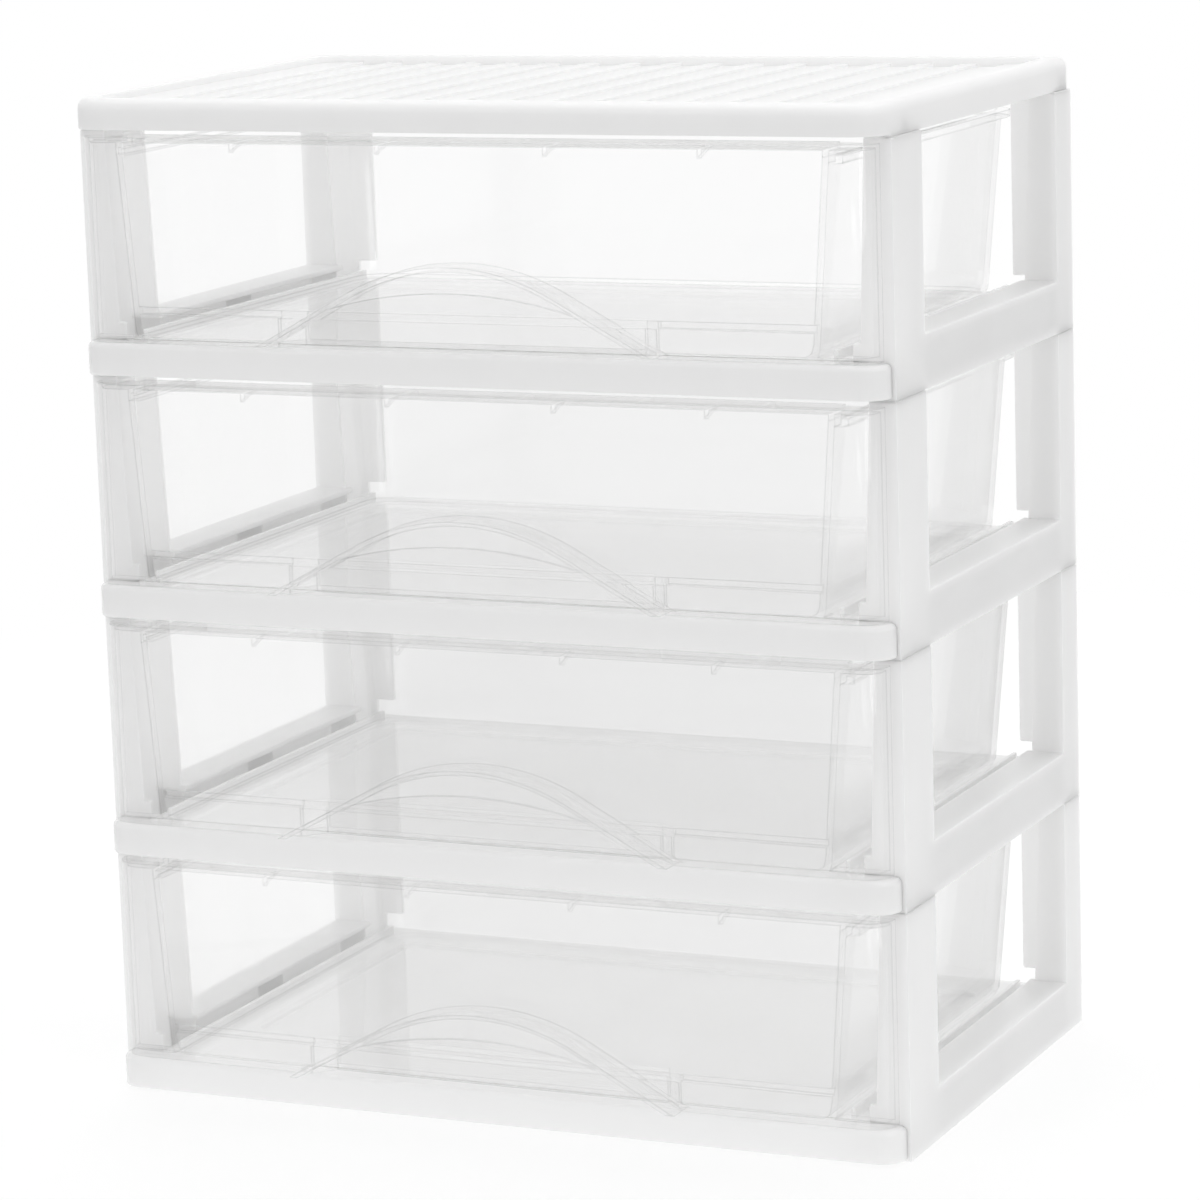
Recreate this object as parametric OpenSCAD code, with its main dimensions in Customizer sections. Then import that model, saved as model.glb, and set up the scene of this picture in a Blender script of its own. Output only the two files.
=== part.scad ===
// Plastic drawer tower: four open-sided tiers stacked under a ribbed lid, each
// tier holding one clear pull-out drawer with an arched hood for a handle.
// A tier is a shelf with a wrapped front lip and two U-shaped side frames that
// peg into the tier above. Millimetres, +Z up, the drawers pull out along -Y.
// The origin lies on the floor, in the middle of the footprint.

/* [Tower] */
// Width over the side frames
tower_w = 368; // [330:1:420]
// Depth from the front of the lips to the back of the frames
tower_d = 232; // [200:1:300]
// Height of one tier, from seam to seam
tier_h = 105; // [95:1:130]
// Wall of the white mouldings
wall = 2.5; // [2:0.1:3]

/* [Side frames] */
// Front post, measured front to back
front_post_d = 34; // [26:1:44]
// Rear post, measured front to back
rear_post_d = 21; // [16:1:30]
// Height of the bottom rail
rail_h = 23; // [21:0.5:28]
// Thickness of the bottom rail, from outside to inside
rail_t = 18; // [15:0.5:20]
// Thickness of a post at its top
post_top_t = 12; // [10:0.5:13]
// Thickness of a post where it grows out of the rail
post_foot_t = 15; // [13:0.5:15]
// Inward reach of the rear return that stops the drawer
return_reach = 27; // [22:1:32]
// Thickness of the ribs that stiffen the hollow rails
frame_rib_t = 1.6; // [1.2:0.1:2]
// Radius of the locating pegs on the posts
peg_r = 3; // [2:0.1:3.2]
// Length of the locating pegs
peg_h = 5; // [4:0.5:7]
// Play of a peg in its hole, on the radius
peg_play = 0.15; // [0.1:0.05:0.3]

/* [Shelves] */
// Height of the lip along the front of a shelf
lip_h = 14; // [12:0.5:16]
// Gap between the lip and the seam under it
lip_gap = 1.5; // [1:0.25:2.5]
// Depth of the lip in front of the posts
lip_d = 12; // [10:0.5:15]
// How far each end of the lip stays inside the side face
lip_inset = 1.5; // [0.5:0.5:3]
// Corner radius of the lip, seen from above
lip_corner_r = 10; // [6:0.5:12]
// Rounding of the lip's top edge
lip_edge_r = 2.5; // [1:0.25:4]
// Front to back size of the flat strip behind the lip
front_strip_d = 57; // [40:1:80]
// Depth of the recessed middle of the shelf
shelf_recess = 2; // [1:0.25:3]
// Width of the runner strip left at each side of the recess
runner_w = 14; // [8:1:22]
// Height of the guide ribs beside the drawer
guide_h = 4.5; // [3:0.5:6]
// Thickness of the guide ribs
guide_t = 2; // [1.5:0.25:3]
// Side play of the drawer body between the guide ribs
guide_play = 1.2; // [0.6:0.2:2]
// Front to back size of the flat strip along the back
back_strip_d = 10; // [7:0.5:14]
// Depth of the stiffening ribs under shelf and lid
under_rib_h = 5; // [3:0.5:6]
// Thickness of the stiffening ribs under shelf and lid
under_rib_t = 1.6; // [1.2:0.1:2.4]
// Width of the tongues that hook a shelf into its side frames
tongue_w = 20; // [12:1:26]
// Reach of the tongues into the side frames
tongue_reach = 12; // [8:0.5:13]

/* [Lid] */
// Height of the lid above the top seam
lid_h = 14; // [12:0.5:18]
// How far the lid stays inside the side faces
lid_inset = 0.5; // [0.5:0.5:2]
// Radius of the lid's front corners, seen from above
lid_corner_r = 14; // [11:0.5:20]
// Radius of the lid's rear corners, seen from above
lid_back_r = 5; // [5:0.5:20]
// Rounding of the lid's top edge
lid_edge_r = 4.5; // [2:0.5:5]
// Width of the raised rim round the top
rim_w = 8; // [6.5:0.5:12]
// Drop from the rim to the top panel
panel_drop = 3; // [1:0.25:3.5]
// Distance from groove to groove in the panel
groove_pitch = 20; // [16:1:26]
// Width of one groove
groove_w = 12.5; // [8:0.5:14]
// Depth of one groove
groove_depth = 1.2; // [0.6:0.1:1.5]
// Flat border between the rim and the outermost grooves
groove_border = 18; // [10:1:30]
// Cut-away under the front of the lid, above the top drawer
lid_relief = 1; // [0.5:0.5:3]

/* [Drawers] */
// Wall of the clear drawers
drawer_wall = 2.2; // [1.8:0.1:2.6]
// Running gap between a drawer and its shelf, and behind its front
slide_gap = 0.3; // [0.2:0.05:0.5]
// How far each end of the drawer front stays inside the side face
front_inset = 4.6; // [3:0.2:8]
// Gap between the drawer front and the seam over it
front_top_gap = 2; // [1:0.25:4]
// Corner radius of the drawer front, seen from above
front_corner_r = 10; // [6:0.5:10.5]
// Gap between the drawer body at its floor and the rail beside it
body_side_gap = 10.5; // [10.5:0.5:24]
// Widening of the body on each side, from floor to rim
body_draft = 5.5; // [1:0.25:6]
// Gap between the top of the drawer front and the side walls' rim
rim_drop = 5; // [5:0.5:20]
// Outward width of the rim
rim_ledge = 3.5; // [2:0.25:4]
// Height of the rim's edge
rim_edge_h = 3.4; // [2.2:0.2:5]
// Radius of the rear corners of the body
body_corner_r = 16; // [8:1:24]
// Rounding between floor and walls
floor_round = 5; // [2:0.5:8]
// Gap between the rim and the rear return
rear_gap = 5; // [3:0.5:20]
// Depth of the stiffening flange behind the top of the front
top_flange_d = 16; // [13:1:30]
// Height of the gussets under that flange
gusset_h = 3.5; // [3:0.5:7]
// Thickness of the gussets
gusset_t = 1.6; // [1.2:0.1:2.4]
// Spacing of the gussets from the centre: inner pair
gusset_x_inner = 38; // [25:1:60]
// Spacing of the gussets from the centre: outer pair
gusset_x_outer = 106; // [80:1:130]

/* [Handle] */
// Height of the hood's feet above the drawer's underside
hood_foot = 2.2; // [1:0.2:4]
// Reach of the hood in front of the lips
hood_reach = 14.6; // [10:0.2:22]
// Width of the hood at its feet
hood_w = 180; // [166:2:200]
// Height of the hood's crown above its feet
hood_rise = 35.2; // [28:0.2:45]
// Radius of the crown
hood_crown_r = 98; // [80:1:110]
// Thickness of the hood's sheet
hood_t = 2; // [1.6:0.1:2.6]
// Height of the grip flange that hangs from the crown
grip_h = 11.2; // [6:0.2:14]
// Radius of the grip flange's lower edge
grip_r = 205; // [150:5:400]
// How far each end of the finger recess stays inside the hood's feet
recess_inset = 4; // [4:1:20]
// Depth of the finger recess
recess_d = 8.4; // [6:0.2:9.4]
// Height of the finger recess above the drawer's underside
recess_h = 12.2; // [8:0.2:14]
// Thickness of the ledge over the finger recess and beside it
ledge_t = 3; // [2:0.25:4]

/* [Hidden] */
$fn = 64;

tiers = 4;
hull_fn = 32;
eps = 0.01;
fit = 0.2;             // gap between mouldings that slip past each other
rib_setback = 2;       // ribs in the rails stay this far inside the open edge
white = [0.94, 0.94, 0.945];
clear = [0.86, 0.90, 0.93, 0.4];

// Places measured from the front of the lips, which lies at y = 0
y_mid = (tower_d - hood_reach) / 2;
window_y0 = lip_d + front_post_d;
window_y1 = tower_d - rear_post_d;
x_out = tower_w / 2;
x_rail = x_out - rail_t;
x_post_top = x_out - post_top_t;
x_post_foot = x_out - post_foot_t;
x_peg = x_out - post_top_t / 2;
peg_ys = [lip_d + front_post_d / 2, tower_d - rear_post_d / 2];

lip_w = tower_w - 2 * lip_inset;
lip_top = lip_gap + lip_h;
shelf_w = 2 * (x_rail - fit);
tongue_ys = [
    window_y0 + (window_y1 - window_y0) / 4,
    window_y1 - (window_y1 - window_y0) / 4
];

lid_w = tower_w - 2 * lid_inset;
panel_top = lid_h - panel_drop;
lid_under = panel_top - groove_depth - wall / 2;

drawer_z0 = lip_top + slide_gap;
front_top = tier_h - front_top_gap;
front_w = tower_w - 2 * front_inset;
front_d = lip_d - slide_gap;
rim_top = front_top - rim_drop;
body_floor_w = 2 * (x_rail - body_side_gap);
body_rim_w = body_floor_w + 2 * body_draft;
body_back = tower_d - wall - rear_gap - rim_ledge;
guide_x = body_floor_w / 2 + body_draft * guide_h / (rim_top - drawer_z0) + guide_play;
hood_z0 = drawer_z0 + hood_foot;
recess_w = hood_w - 2 * recess_inset;
grip_edge = hood_rise - grip_h;    // lower edge of the grip flange at the centre

// ---- shared forms -------------------------------------------------------

// Upright section, w wide and h high, with its two top corners rounded
module round_top(w, h, e) {
    translate([-w / 2, 0]) square([w, h - e]);
    translate([-w / 2 + e, 0]) square([w - 2 * e, h]);
    for (s = [-1, 1]) translate([s * (w / 2 - e), h - e]) circle(r = e);
}

// Plate from y = 0 to d with round corners in plan and a rounded top edge
module rounded_slab(w, d, h, r, e) {
    translate([-w / 2 + r, d / 2, 0]) rotate([90, 0, 90]) linear_extrude(w - 2 * r) round_top(d, h, e);
    translate([0, d - r, 0]) rotate([90, 0, 0]) linear_extrude(d - 2 * r) round_top(w, h, e);
    for (s = [-1, 1], y = [r, d - r]) {
        translate([s * (w / 2 - r), y, 0]) rotate_extrude() intersection() {
            round_top(2 * r, h, e);
            square([r, h]);
        }
    }
}

// Plan with rounded front corners and a square back, from y = 0 to d
module front_plan(w, d, r) {
    translate([-w / 2, r]) square([w, d - r]);
    translate([-w / 2 + r, 0]) square([w - 2 * r, r + eps]);
    for (s = [-1, 1]) translate([s * (w / 2 - r), r]) intersection() {
        circle(r = r);
        translate([-r, -r]) square([2 * r, r + eps]);
    }
}

// Plan with a square front at y0 and rounded rear corners at y1
module rear_plan(w, y0, y1, r) {
    translate([0, y1]) mirror([0, 1]) front_plan(w, y1 - y0, r);
}

// Plan with all four corners rounded, from y0 to y1
module round_plan(w, y0, y1, r) {
    translate([-w / 2, y0 + r]) square([w, y1 - y0 - 2 * r]);
    translate([-w / 2 + r, y0]) square([w - 2 * r, y1 - y0]);
    for (s = [-1, 1], y = [y0 + r, y1 - r]) translate([s * (w / 2 - r), y]) circle(r = r);
}

// Extrude a (y, z) outline along x, from x0 to x1
module along_x(x0, x1) {
    translate([x0, 0, 0]) rotate([90, 0, 90]) linear_extrude(x1 - x0) children();
}

// Extrude an (x, z) outline along y, from y0 to y1
module along_y(y0, y1) {
    translate([0, y1, 0]) rotate([90, 0, 0]) linear_extrude(y1 - y0) children();
}

module on_tier(i) {
    translate([0, -y_mid, (i - 1) * tier_h]) children();
}

// ---- side frame: hollow U moulding, open towards the drawer -----------------

// The U seen from the side, drawn in by an inset all round
module frame_outline(inset) {
    difference() {
        translate([lip_d + inset, inset])
            square([tower_d - lip_d - 2 * inset, tier_h - 2 * inset]);
        translate([window_y0 - inset, rail_h - inset])
            square([window_y1 - window_y0 + 2 * inset, tier_h]);
    }
}

// Depth of the moulding seen from the front: thick rail, posts that taper up
module frame_section(inset) {
    polygon([
        [x_rail + inset, 0], [x_out, 0], [x_out, tier_h], [x_post_top + inset, tier_h],
        [x_post_foot + inset, rail_h], [x_rail + inset, rail_h]
    ]);
}

module rail_ribs() {
    for (y = [window_y0, (window_y0 + window_y1) / 2, window_y1]) {
        translate([x_rail, y - frame_rib_t / 2, eps])
            cube([rail_t - eps, frame_rib_t, rail_h - 2 * eps]);
    }
}

module side_right() {
    color(white) {
        difference() {
            union() {
                intersection() {
                    difference() {
                        along_x(x_rail, x_out) frame_outline(0);
                        along_x(x_rail - 1, x_out - wall) frame_outline(wall);
                    }
                    along_y(0, tower_d) frame_section(0);
                }
                intersection() {
                    rail_ribs();
                    along_y(0, tower_d) frame_section(rib_setback);
                }
                // return across the back, which the drawer's rim faces
                translate([x_out - return_reach, tower_d - wall, rail_h])
                    cube([return_reach - eps, wall, tier_h - rail_h]);
            }
            for (y = peg_ys)
                translate([x_peg, y, -1]) cylinder(r = peg_r + peg_play, h = wall + 2);
        }
        for (y = peg_ys)
            translate([x_peg, y, tier_h - wall / 2]) cylinder(r = peg_r, h = peg_h + wall / 2);
    }
}

module side_left() {
    mirror([1, 0, 0]) side_right();
}

// ---- shelf: lip, deck with runners and guides, tongues ----------------------

module shelf_outer() {
    intersection() {
        translate([0, 0, lip_gap])
            rounded_slab(lip_w, 4 * lip_corner_r, lip_h, lip_corner_r, lip_edge_r);
        translate([-lip_w / 2, 0, 0]) cube([lip_w, lip_d, lip_top]);
    }
    translate([-shelf_w / 2, lip_d - 1, lip_gap])
        cube([shelf_w, tower_d - lip_d + 1, lip_h - eps]);
}

module shelf_hollow() {
    deck_under = lip_top - wall;
    translate([0, wall, 0])
        linear_extrude(deck_under) front_plan(lip_w - 2 * wall, lip_d - wall + eps, lip_corner_r - wall);
    translate([-shelf_w / 2 + wall, lip_d - 1, 0])
        cube([shelf_w - 2 * wall, front_strip_d - lip_d + 1, deck_under]);
    translate([-shelf_w / 2 + wall, lip_d, 0])
        cube([shelf_w - 2 * wall, tower_d - lip_d - back_strip_d, deck_under - shelf_recess]);
    translate([-shelf_w / 2 + wall, tower_d - back_strip_d + wall, 0])
        cube([shelf_w - 2 * wall, back_strip_d - 2 * wall, deck_under]);
}

module shelf_recess_cut() {
    sunk_w = 2 * (guide_x - runner_w);
    translate([0, 0, lip_top - shelf_recess])
        linear_extrude(shelf_recess + 1)
            round_plan(sunk_w, front_strip_d, tower_d - back_strip_d - runner_w, 4);
}

// Ribs under a deck of a given width, from y0 to y1, with their feet at z0
module under_ribs(w, y0, y1, z0, h) {
    for (i = [-2:2])
        translate([i * w / 6 - under_rib_t / 2, y0, z0]) cube([under_rib_t, y1 - y0, h]);
    for (i = [1:3])
        translate([-w / 2, y0 + (y1 - y0) * i / 4 - under_rib_t / 2, z0]) cube([w, under_rib_t, h]);
}

module shelf() {
    color(white) {
        difference() {
            shelf_outer();
            shelf_hollow();
            shelf_recess_cut();
        }
        for (s = [-1, 1]) {
            translate([s * (guide_x + guide_t / 2) - guide_t / 2, lip_d + 2, lip_top - 1])
                cube([guide_t, tower_d - back_strip_d - lip_d - 4, guide_h + 1]);
            for (y = tongue_ys)
                translate([s * (shelf_w + tongue_reach) / 2 - (tongue_reach + wall) / 2, y - tongue_w / 2, wall])
                    cube([tongue_reach + wall, tongue_w, wall]);
        }
        under_ribs(
            shelf_w - wall, lip_d, tower_d - back_strip_d + wall / 2,
            lip_top - wall - shelf_recess - under_rib_h, under_rib_h + wall / 2
        );
    }
}

// ---- lid: shell with a raised rim, a grooved panel and peg sockets ----------

module lid_grooves() {
    reach = lid_w / 2 - rim_w - groove_border - groove_w / 2;
    last = floor((reach - groove_pitch / 2) / groove_pitch);
    for (i = [-last - 1:last]) {
        translate([(i + 0.5) * groove_pitch - groove_w / 2, rim_w + groove_w / 2, panel_top - groove_depth])
            cube([groove_w, tower_d - 2 * rim_w - groove_w / 2, groove_depth + eps]);
    }
}

// Front half and rear half, each with its own corner radius
module lid_block() {
    half_d = tower_d / 2;
    for (half = [[lid_corner_r, 0], [lid_back_r, half_d - eps]]) intersection() {
        rounded_slab(lid_w, tower_d, lid_h, half[0], lid_edge_r);
        translate([-lid_w / 2, half[1], 0]) cube([lid_w, half_d + eps, lid_h]);
    }
}

module lid_shell() {
    difference() {
        lid_block();
        translate([0, 0, -1])
            linear_extrude(lid_under + 1)
                round_plan(lid_w - 2 * wall, wall, tower_d - wall, lid_corner_r - wall);
        translate([0, 0, panel_top])
            linear_extrude(panel_drop + 1)
                round_plan(lid_w - 2 * rim_w, rim_w, tower_d - rim_w, lid_corner_r - rim_w + 2);
        lid_grooves();
        translate([-lid_w / 2 - 1, -1, -1]) cube([lid_w + 2, lip_d + 1, lid_relief + 1]);
    }
}

module lid() {
    socket_r = peg_r + peg_play;
    translate([0, -y_mid, tiers * tier_h]) color(white) difference() {
        union() {
            lid_shell();
            for (s = [-1, 1], y = peg_ys)
                translate([s * x_peg, y, 0]) cylinder(r = socket_r + wall / 2, h = lid_under + wall / 4);
            under_ribs(lid_w - wall, wall / 2, tower_d - wall / 2, lid_under - under_rib_h, under_rib_h + wall / 4);
        }
        for (s = [-1, 1], y = peg_ys)
            translate([s * x_peg, y, -1]) cylinder(r = socket_r, h = peg_h + 1 + slide_gap);
    }
}

// ---- drawer: clear tub with a wrapped front and an arched hood --------------

// Shallow pan whose front and returns hide the posts
module front_pan() {
    difference() {
        translate([0, 0, drawer_z0])
            linear_extrude(front_top - drawer_z0) front_plan(front_w, front_d, front_corner_r);
        translate([0, drawer_wall, drawer_z0 + drawer_wall])
            linear_extrude(front_top - drawer_z0 - 2 * drawer_wall)
                front_plan(front_w - 2 * drawer_wall, front_d, front_corner_r - drawer_wall);
    }
}

// Tapered tub form, drawn in by t on its sides and back, open or closed below
module tub_form(t, z0, front_y) {
    layers = [
        [z0, floor_round - t / 2],
        [z0 + floor_round * 0.3, (floor_round - t / 2) * 0.3],
        [z0 + floor_round, 0],
        [rim_top + (t > 0 ? 1 : 0), -body_draft]
    ];
    hull() {
        for (layer = layers) {
            translate([0, 0, layer[0]])
                linear_extrude(eps)
                    rear_plan(
                        body_floor_w - 2 * (t + layer[1]), front_y,
                        body_back - body_draft - t - layer[1], body_corner_r - t, $fn = hull_fn
                    );
        }
    }
}

module tub() {
    difference() {
        tub_form(0, drawer_z0, drawer_wall / 2);
        tub_form(drawer_wall, drawer_z0 + drawer_wall, drawer_wall);
    }
    // rim turned outward along the sides and the back
    translate([0, 0, rim_top - rim_edge_h]) linear_extrude(rim_edge_h) difference() {
        rear_plan(
            body_rim_w + 2 * rim_ledge, front_d - drawer_wall,
            body_back + rim_ledge, body_corner_r + rim_ledge
        );
        rear_plan(body_rim_w - drawer_wall, 0, body_back - drawer_wall / 2, body_corner_r - drawer_wall / 2);
    }
}

// Flange behind the top of the front, with its gussets
module top_flange() {
    flange_z0 = front_top - drawer_wall;
    translate([-body_rim_w / 2, drawer_wall / 2, flange_z0])
        cube([body_rim_w, top_flange_d - drawer_wall / 2, drawer_wall]);
    for (s = [-1, 1], x = [gusset_x_inner, gusset_x_outer]) {
        along_x(s * x - gusset_t / 2, s * x + gusset_t / 2)
            polygon([
                [drawer_wall / 2, flange_z0 + eps], [drawer_wall / 2, flange_z0 - gusset_h],
                [drawer_wall, flange_z0 - gusset_h], [top_flange_d - 1, flange_z0 + eps]
            ]);
    }
    // end webs that tie the flange down to the side walls
    for (s = [-1, 1]) {
        translate([s * (body_rim_w - drawer_wall) / 2 - drawer_wall / 2, drawer_wall / 2, rim_top - drawer_wall])
            cube([drawer_wall, top_flange_d - drawer_wall / 2, rim_drop + drawer_wall / 2]);
    }
}

// Plan of the finger recess, grown by t
module recess_plan(t) {
    half = recess_w / 2 + t;
    deep = recess_d + t;
    polygon([[-half - 1, -1], [half + 1, -1], [half, 0], [half - deep, deep], [deep - half, deep], [-half, 0]]);
}

module recess_housing() {
    intersection() {
        translate([0, 0, drawer_z0]) linear_extrude(recess_h + ledge_t) recess_plan(drawer_wall);
        translate([-recess_w, drawer_wall / 2, 0]) cube([2 * recess_w, 4 * recess_d, tier_h]);
    }
    // ledge that carries the same line out to the side walls
    for (s = [-1, 1]) {
        span = body_floor_w / 2 - recess_w / 2;
        translate([s * (recess_w / 2 + span / 2) - span / 2, drawer_wall / 2, drawer_z0 + recess_h])
            cube([span, drawer_wall + ledge_t / 2, ledge_t]);
    }
}

// Arch of the hood in (x, z): a crown arc with straight flanks tangent to it,
// drawn in by an inset, standing on z = 0
module hood_arch(inset) {
    half = hood_w / 2;
    sink = hood_crown_r - hood_rise;
    tangent_a = atan2(sink, half) + acos(hood_crown_r / norm([half, sink]));
    r = hood_crown_r - inset;
    tx = r * cos(tangent_a);
    tz = r * sin(tangent_a) - sink;
    foot = half - inset / cos(tangent_a);
    polygon([[-foot, 0], [foot, 0], [tx, tz], [-tx, tz]]);
    intersection() {
        translate([0, -sink]) circle(r = r, $fn = 180);
        translate([-tx, tz - eps]) square([2 * tx, r]);
    }
}

module handle_hood() {
    translate([0, 0, hood_z0]) {
        along_y(-hood_reach, drawer_wall / 2) difference() {
            hood_arch(0);
            translate([0, -eps]) hood_arch(hood_t);
        }
        // crescent grip flange along the front of the crown
        along_y(-hood_reach, hood_t - hood_reach) difference() {
            hood_arch(0);
            translate([0, grip_edge - grip_r]) circle(r = grip_r, $fn = 180);
            translate([-hood_w, -grip_edge]) square([2 * hood_w, 1.5 * grip_edge]);
        }
    }
}

module drawer() {
    color(clear) difference() {
        union() {
            front_pan();
            tub();
            top_flange();
            recess_housing();
            handle_hood();
        }
        translate([0, 0, drawer_z0 - 1]) linear_extrude(recess_h + 1)
            intersection() {
                recess_plan(0);
                translate([-recess_w, -eps]) square([2 * recess_w, 4 * recess_d]);
            }
    }
}

// ---- the tower ----------------------------------------------------------

on_tier(1) shelf();  // shelf_1
on_tier(2) shelf();  // shelf_2
on_tier(3) shelf();  // shelf_3
on_tier(4) shelf();  // shelf_4
on_tier(1) side_left();  // side_left_1
on_tier(2) side_left();  // side_left_2
on_tier(3) side_left();  // side_left_3
on_tier(4) side_left();  // side_left_4
on_tier(1) side_right();  // side_right_1
on_tier(2) side_right();  // side_right_2
on_tier(3) side_right();  // side_right_3
on_tier(4) side_right();  // side_right_4
on_tier(1) drawer();  // drawer_1
on_tier(2) drawer();  // drawer_2
on_tier(3) drawer();  // drawer_3
on_tier(4) drawer();  // drawer_4
lid();
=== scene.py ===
import math
import bpy
from mathutils import Matrix, Vector


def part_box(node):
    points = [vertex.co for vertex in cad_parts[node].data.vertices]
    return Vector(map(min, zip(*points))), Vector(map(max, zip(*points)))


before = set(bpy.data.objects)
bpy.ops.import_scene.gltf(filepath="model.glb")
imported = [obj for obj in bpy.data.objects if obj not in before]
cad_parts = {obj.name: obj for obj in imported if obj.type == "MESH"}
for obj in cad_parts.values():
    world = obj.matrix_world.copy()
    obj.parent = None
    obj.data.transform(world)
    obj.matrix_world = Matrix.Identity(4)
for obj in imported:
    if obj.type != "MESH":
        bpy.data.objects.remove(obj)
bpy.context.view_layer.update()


# ---- White sweep -----------------------------------------------------------
# The tower stands on a wide white sweep. Rays that light the tower find it
# glowing around the foot. The camera sees plain white with the tower's shadow.

SWEEP_HALF_WIDTH = 6
SWEEP_FRONT = -4
SWEEP_BACK = 12
SHADE_TONE = 0.28
SHOWN_GLOW = 0.74
SHADOW_FADES_FROM = 0.35
SHADOW_FADES_TO = 1.1
FOOT_GLOW_NEAR = 0.70
FOOT_GLOW_FAR = 0.52
FOOT_GLOW_FADES_FROM = 0.3
FOOT_GLOW_FADES_TO = 0.9


def grey(tone):
    return (tone, tone, tone, 1)


def add_node(tree, kind, inputs, **settings):
    node = tree.nodes.new(kind)
    for name, value in settings.items():
        setattr(node, name, value)
    for name, value in inputs.items():
        if isinstance(value, bpy.types.Node):
            value = value.outputs[0]
        if isinstance(value, bpy.types.NodeSocket):
            tree.links.new(value, node.inputs[name])
        else:
            node.inputs[name].default_value = value
    return node


def new_material(name):
    material = bpy.data.materials.new(name)
    material.use_nodes = True
    tree = material.node_tree
    tree.nodes.clear()
    return material, tree


def mixed(tree, share, first, second):
    return add_node(tree, "ShaderNodeMixShader", {0: share, 1: first, 2: second})


def added(tree, first, second):
    return add_node(tree, "ShaderNodeAddShader", {0: first, 1: second})


def glow(tree, strength):
    return add_node(tree, "ShaderNodeEmission", {"Color": grey(1), "Strength": strength})


def larger(tree, first, second):
    return add_node(tree, "ShaderNodeMath", {0: first, 1: second}, operation="MAXIMUM")


def ramp(tree, value, start, end, at_start, at_end, **settings):
    limits = {"From Min": start, "From Max": end, "To Min": at_start, "To Max": at_end}
    return add_node(tree, "ShaderNodeMapRange", {"Value": value, **limits}, **settings)


def distance_from_tower(tree):
    place = add_node(tree, "ShaderNodeTexCoord", {})
    reach = add_node(tree, "ShaderNodeVectorMath", {0: place.outputs["Object"]}, operation="LENGTH")
    return reach.outputs["Value"]


def seen_or_mirrored(tree):
    path = add_node(tree, "ShaderNodeLightPath", {})
    seen = larger(tree, path.outputs["Is Camera Ray"], path.outputs["Is Glossy Ray"])
    return larger(tree, seen, path.outputs["Is Transmission Ray"])


def sweep_material():
    material, tree = new_material("white_sweep")
    distance = distance_from_tower(tree)
    shade = add_node(tree, "ShaderNodeBsdfDiffuse", {"Color": grey(SHADE_TONE)})

    near = added(tree, shade, glow(tree, SHOWN_GLOW))
    far = glow(tree, 1)
    shadow_fade = ramp(tree, distance, SHADOW_FADES_FROM, SHADOW_FADES_TO, 0, 1)
    shown = mixed(tree, shadow_fade, near, far)

    foot_fade = ramp(tree, distance, FOOT_GLOW_FADES_FROM, FOOT_GLOW_FADES_TO, FOOT_GLOW_NEAR, FOOT_GLOW_FAR)
    lighting = added(tree, shade, glow(tree, foot_fade))

    surface = mixed(tree, seen_or_mirrored(tree), lighting, shown)
    add_node(tree, "ShaderNodeOutputMaterial", {"Surface": surface})
    return material


left, right = -SWEEP_HALF_WIDTH, SWEEP_HALF_WIDTH
corners = [(left, SWEEP_FRONT, 0), (right, SWEEP_FRONT, 0), (right, SWEEP_BACK, 0), (left, SWEEP_BACK, 0)]
sweep_mesh = bpy.data.meshes.new("sweep")
sweep_mesh.from_pydata(corners, [], [(0, 1, 2, 3)])
sweep_mesh.materials.append(sweep_material())
sweep = bpy.data.objects.new("sweep", sweep_mesh)
bpy.context.scene.collection.objects.link(sweep)


# ---- Studio light ----------------------------------------------------------
# Even white air all round and four soft boxes. Rays bent by the clear drawers
# find the air bright only behind the tower, so the plastic's outlines turn grey.

AIR_LEVEL = 0.60
BRIGHT_SIDE = Vector((-0.3, 0.95, -0.05)).normalized()
BRIGHT_SIDE_STARTS = 0.55
BRIGHT_SIDE_IN_FULL = 0.9
DIM_LEVEL = 0.4


def air(tree, strength):
    return add_node(tree, "ShaderNodeBackground", {"Color": grey(1), "Strength": strength})


def studio_air():
    world = bpy.data.worlds.new("studio_air")
    bpy.context.scene.world = world
    world.use_nodes = True
    tree = world.node_tree
    tree.nodes.clear()

    place = add_node(tree, "ShaderNodeTexCoord", {})
    directions = {0: place.outputs["Generated"], 1: BRIGHT_SIDE}
    towards = add_node(tree, "ShaderNodeVectorMath", directions, operation="DOT_PRODUCT").outputs["Value"]
    limits = (BRIGHT_SIDE_STARTS, BRIGHT_SIDE_IN_FULL, DIM_LEVEL, 1)
    bent_level = ramp(tree, towards, *limits, interpolation_type="SMOOTHSTEP")

    path = add_node(tree, "ShaderNodeLightPath", {})
    shown = mixed(tree, path.outputs["Is Transmission Ray"], air(tree, 1), air(tree, bent_level))
    surroundings = mixed(tree, seen_or_mirrored(tree), air(tree, AIR_LEVEL), shown)
    add_node(tree, "ShaderNodeOutputWorld", {"Surface": surroundings})


def soft_box(name, place, aim, size, watts, mirrored):
    lamp = bpy.data.lights.new(name, "AREA")
    lamp.shape = "RECTANGLE"
    lamp.size, lamp.size_y = size
    lamp.energy = watts
    holder = bpy.data.objects.new(name, lamp)
    holder.location = place
    holder.rotation_euler = (Vector(aim) - Vector(place)).to_track_quat("-Z", "Y").to_euler()
    holder.visible_camera = False
    holder.visible_glossy = mirrored
    holder.visible_transmission = False
    bpy.context.scene.collection.objects.link(holder)


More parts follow.
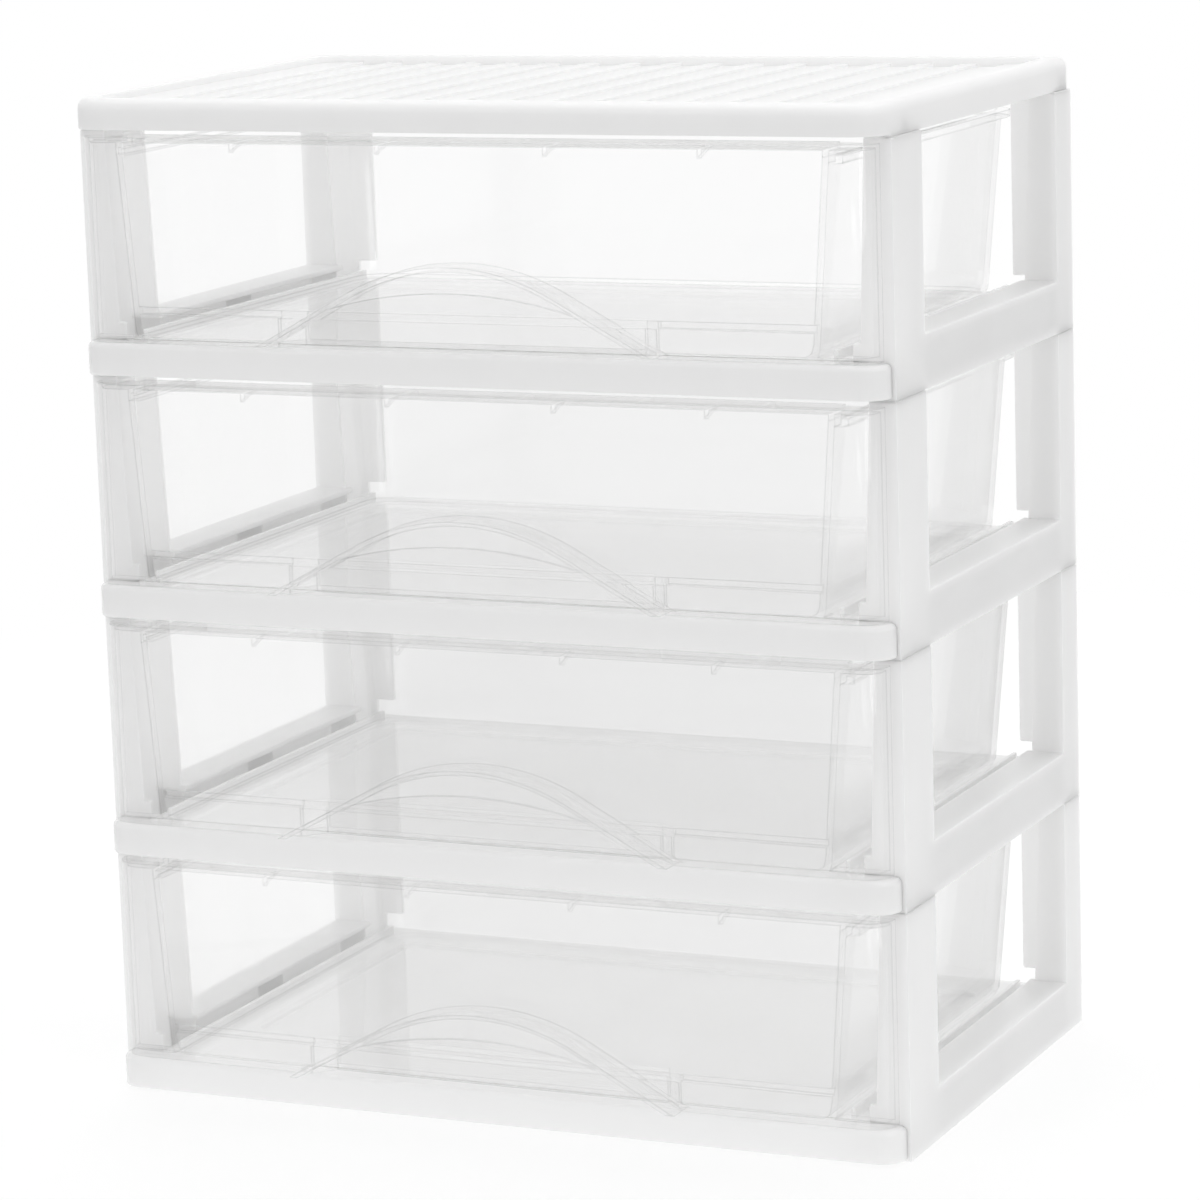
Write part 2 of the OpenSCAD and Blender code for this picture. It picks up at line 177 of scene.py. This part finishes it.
studio_air()
soft_box("overhead", (0.2, 0.1, 2.6), (0, 0, 0.2), (3.2, 3.2), watts=31, mirrored=True)
soft_box("from_front", (0.4, -3.0, 0.25), (0, 0, 0.15), (1.6, 0.5), watts=1.5, mirrored=True)
soft_box("from_back_left", (-1.6, 2.4, 0.9), (0, 0, 0.25), (2.2, 0.8), watts=28, mirrored=False)
soft_box("from_front_right", (2.0, -1.5, 0.8), (0, 0, 0.25), (0.5, 1.4), watts=4, mirrored=True)


# ---- Camera ----------------------------------------------------------------
# A long lens to the right of the front and a little above, fitted to the photo's
# edges. Light crosses many clear walls on its way, so it gets many bounces.

CAMERA_PLACE = (0.8421, -1.8262, 0.5951)
CAMERA_TURN = 24.557
CAMERA_LOOKS_DOWN = 10.920
CAMERA_ROLL = -1.846
LENS_LENGTH = 140.99
SENSOR_WIDTH = 36

lens = bpy.data.cameras.new("photo_camera")
lens.sensor_width = SENSOR_WIDTH
lens.lens = LENS_LENGTH
lens.clip_start, lens.clip_end = 0.1, 60
camera = bpy.data.objects.new("photo_camera", lens)
turn = Matrix.Rotation(math.radians(CAMERA_TURN), 4, "Z")
tilt = Matrix.Rotation(math.radians(90 - CAMERA_LOOKS_DOWN), 4, "X")
roll = Matrix.Rotation(math.radians(CAMERA_ROLL), 4, "Z")
camera.matrix_world = Matrix.Translation(CAMERA_PLACE) @ turn @ tilt @ roll
bpy.context.scene.collection.objects.link(camera)
bpy.context.scene.camera = camera
bpy.context.scene.view_settings.view_transform = "Standard"

light_paths = bpy.context.scene.cycles
light_paths.transparent_max_bounces = 40
light_paths.max_bounces = 20
light_paths.transmission_bounces = 20
light_paths.glossy_bounces = 8
light_paths.diffuse_bounces = 14


# ---- Shelves ---------------------------------------------------------------
# Each shelf is one white polypropylene moulding: a wrapped lip along the front,
# a smooth deck with runner strips and guide ribs, and stiffening ribs below.

TIERS = range(1, 5)
# Toned lighter than the frames and lid of the same plastic: painted light on the decks.
LIT_SHELF_TONE = 0.963
SHELF_ROUGHNESS = 0.16
SHELF_EDGE = 0.0004
WELD_REACH = 0.00003
SHARP_ANGLE = math.radians(35)
WHITE_IOR = 1.49
WHITE_GLOW_SHARE = 0.9
WHITE_GLOW_DEPTH = 0.010
TONE_SPREAD = 0.01
CLOUD_SCALE = 14
GRAIN_SCALE = 1800
GRAIN_DEPTH = 0.0002
GRAIN_STRENGTH = 0.05


def soft_edges(obj, width, segments=3, edge_slot=-1):
    weld = obj.modifiers.new("weld", "WELD")
    weld.merge_threshold = WELD_REACH
    bevel = obj.modifiers.new("soft_edges", "BEVEL")
    bevel.width = width
    bevel.segments = segments
    bevel.limit_method = "ANGLE"
    bevel.angle_limit = SHARP_ANGLE
    bevel.use_clamp_overlap = False
    bevel.harden_normals = True
    bevel.material = edge_slot


def warm_white(tone):
    return (tone, tone - 0.001, tone - 0.003, 1)


def white_moulding(name, tone, roughness):
    material, tree = new_material(name)
    place = add_node(tree, "ShaderNodeTexCoord", {}).outputs["Object"]

    cloud = add_node(tree, "ShaderNodeTexNoise", {"Vector": place, "Scale": CLOUD_SCALE, "Detail": 3})
    tint = add_node(tree, "ShaderNodeValToRGB", {"Fac": cloud})
    darker, lighter = tint.color_ramp.elements
    darker.position = 0.3
    darker.color = warm_white(tone - TONE_SPREAD)
    lighter.position = 0.7
    lighter.color = warm_white(tone + TONE_SPREAD)

    grain = add_node(tree, "ShaderNodeTexNoise", {"Vector": place, "Scale": GRAIN_SCALE, "Detail": 2})
    bumps = {"Height": grain, "Strength": GRAIN_STRENGTH, "Distance": GRAIN_DEPTH}
    plastic = add_node(tree, "ShaderNodeBsdfPrincipled", {
        "Base Color": tint,
        "Roughness": roughness,
        "IOR": WHITE_IOR,
        "Subsurface Weight": WHITE_GLOW_SHARE,
        "Subsurface Radius": (1, 1, 1),
        "Subsurface Scale": WHITE_GLOW_DEPTH,
        "Normal": add_node(tree, "ShaderNodeBump", bumps),
    })
    add_node(tree, "ShaderNodeOutputMaterial", {"Surface": plastic})
    return material


def dress(obj, material):
    obj.data.materials.clear()
    obj.data.materials.append(material)


white_shelf_lit = white_moulding("white_shelf_lit", LIT_SHELF_TONE, SHELF_ROUGHNESS)
for tier in TIERS:
    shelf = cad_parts[f"shelf_{tier}"]
    dress(shelf, white_shelf_lit)
    soft_edges(shelf, SHELF_EDGE)


# ---- Side frames -----------------------------------------------------------
# Hollow U-shaped mouldings of the same white plastic, open towards the drawers,
# pegged one on the other. Their faces are a little less glossy than the decks,
# and a shade darker, since the shelves' lighter tone is painted light.

SIDE_TONE = 0.943
SIDE_ROUGHNESS = 0.34
SIDE_EDGE = 0.0007

white_frame = white_moulding("white_frame", SIDE_TONE, SIDE_ROUGHNESS)
for tier in TIERS:
    for hand in ("left", "right"):
        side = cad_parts[f"side_{hand}_{tier}"]
        dress(side, white_frame)
        soft_edges(side, SIDE_EDGE)


# ---- Lid -------------------------------------------------------------------
# One moulding of the side frames' plastic, with a raised rim and a grooved
# panel, pressed on the pegs of the top side frames.

LID_EDGE = 0.0004

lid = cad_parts["lid"]
dress(lid, white_frame)
soft_edges(lid, LID_EDGE)


# ---- Drawers ---------------------------------------------------------------
# Clear polystyrene, injected in one shot with its arched hood. Light passes its
# thin walls freely. Walls seen at a slant and the rounded edges are tinted grey,
# a painted shade on top of the grey that the bent rays find. The lower drawers
# are hazier than the top one, and their back walls carry a little painted grey
# shade, both as in the photo.

WALL_TONE = 0.998
# Walls seen at a slant are tinted grey: painted shade.
SLANTED_WALL_PAINTED_SHADE = 0.87
# Grey tint on each drawer's back wall, greyer on the lower drawers: painted shade.
PAINTED_REAR_SHADE = {1: 0.925, 2: 0.905, 3: 0.955, 4: 0.996}
HAZE_SHARE = {1: 0.04, 2: 0.04, 3: 0.03, 4: 0.012}
DRAWER_EDGE = 0.0004
EDGE_SEGMENTS = 2
EDGE_SLOT = 1
# The rounded edges have a grey tint of their own: a painted shade line.
EDGE_PAINTED_SHADE = 0.86
SLANTED_EDGE_PAINTED_SHADE = 0.70
EDGE_HAZE_SHARE = 0.03
BENT_SHARE = 0.05
CLEAR_IOR = 1.57
HEAD_ON_MIRROR = 0.04
SLANT_SHADE_POWER = 8
SLANT_MIRROR_POWER = 5
LIGHT_PASSED = 0.995
REAR_WALL_FROM_BACK = 0.0218
PAINTED_REAR_SHADE_FADE = 0.006

drawer_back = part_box("drawer_1")[1].y
painted_rear_shade_in_full = drawer_back - REAR_WALL_FROM_BACK
painted_rear_shade_starts = painted_rear_shade_in_full - PAINTED_REAR_SHADE_FADE


def power_of(tree, value, exponent):
    return add_node(tree, "ShaderNodeMath", {0: value, 1: exponent}, operation="POWER")


def clear_plastic(name, wall_tone, painted_rear_shade, slanted_painted_shade, haze_share):
    material, tree = new_material(name)
    slant = add_node(tree, "ShaderNodeLayerWeight", {"Blend": 0.5}).outputs["Facing"]
    place = add_node(tree, "ShaderNodeTexCoord", {})
    depth = add_node(tree, "ShaderNodeSeparateXYZ", {0: place.outputs["Object"]}).outputs["Y"]

    # Darker towards the back wall: painted shade.
    tone_with_rear_shade = ramp(tree, depth, painted_rear_shade_starts, painted_rear_shade_in_full, wall_tone, painted_rear_shade)
    # Grey where a wall is seen at a slant: painted shade.
    slant_shade_share = power_of(tree, slant, SLANT_SHADE_POWER)
    tones = {"A": tone_with_rear_shade, "B": grey(slanted_painted_shade), "Factor": slant_shade_share}
    tint = add_node(tree, "ShaderNodeMix", tones, data_type="RGBA").outputs["Result"]
    through = add_node(tree, "ShaderNodeBsdfTransparent", {"Color": tint})

    grazing_share = power_of(tree, slant, SLANT_MIRROR_POWER)
    shares = {0: grazing_share, 1: 1 - HEAD_ON_MIRROR, 2: HEAD_ON_MIRROR}
    mirror_share = add_node(tree, "ShaderNodeMath", shares, operation="MULTIPLY_ADD")
    mirror = add_node(tree, "ShaderNodeBsdfGlossy", {"Color": grey(0.98), "Roughness": 0.06})
    pane = mixed(tree, mirror_share, through, mirror)

    haze = add_node(tree, "ShaderNodeBsdfPrincipled", {"Base Color": grey(0.9), "Roughness": 0.15})
    bent = add_node(tree, "ShaderNodeBsdfPrincipled", {
        "Base Color": grey(0.99),
        "Roughness": 0.04,
        "IOR": CLEAR_IOR,
        "Transmission Weight": 1,
    })
    body = mixed(tree, BENT_SHARE, mixed(tree, haze_share, pane, haze), bent)

    path = add_node(tree, "ShaderNodeLightPath", {})
    lighting = larger(tree, path.outputs["Is Shadow Ray"], path.outputs["Is Diffuse Ray"])
    open_air = add_node(tree, "ShaderNodeBsdfTransparent", {"Color": grey(LIGHT_PASSED)})
    add_node(tree, "ShaderNodeOutputMaterial", {"Surface": mixed(tree, lighting, body, open_air)})
    return material


# Material for the rounded edges, tinted grey throughout: painted shade.
clear_edge_painted_shade = clear_plastic("clear_edge_painted_shade", EDGE_PAINTED_SHADE, EDGE_PAINTED_SHADE, SLANTED_EDGE_PAINTED_SHADE, EDGE_HAZE_SHARE)
for tier in TIERS:
    looks = (WALL_TONE, PAINTED_REAR_SHADE[tier], SLANTED_WALL_PAINTED_SHADE, HAZE_SHARE[tier])
    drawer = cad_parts[f"drawer_{tier}"]
    dress(drawer, clear_plastic(f"clear_drawer_{tier}", *looks))
    drawer.data.materials.append(clear_edge_painted_shade)
    soft_edges(drawer, DRAWER_EDGE, EDGE_SEGMENTS, EDGE_SLOT)
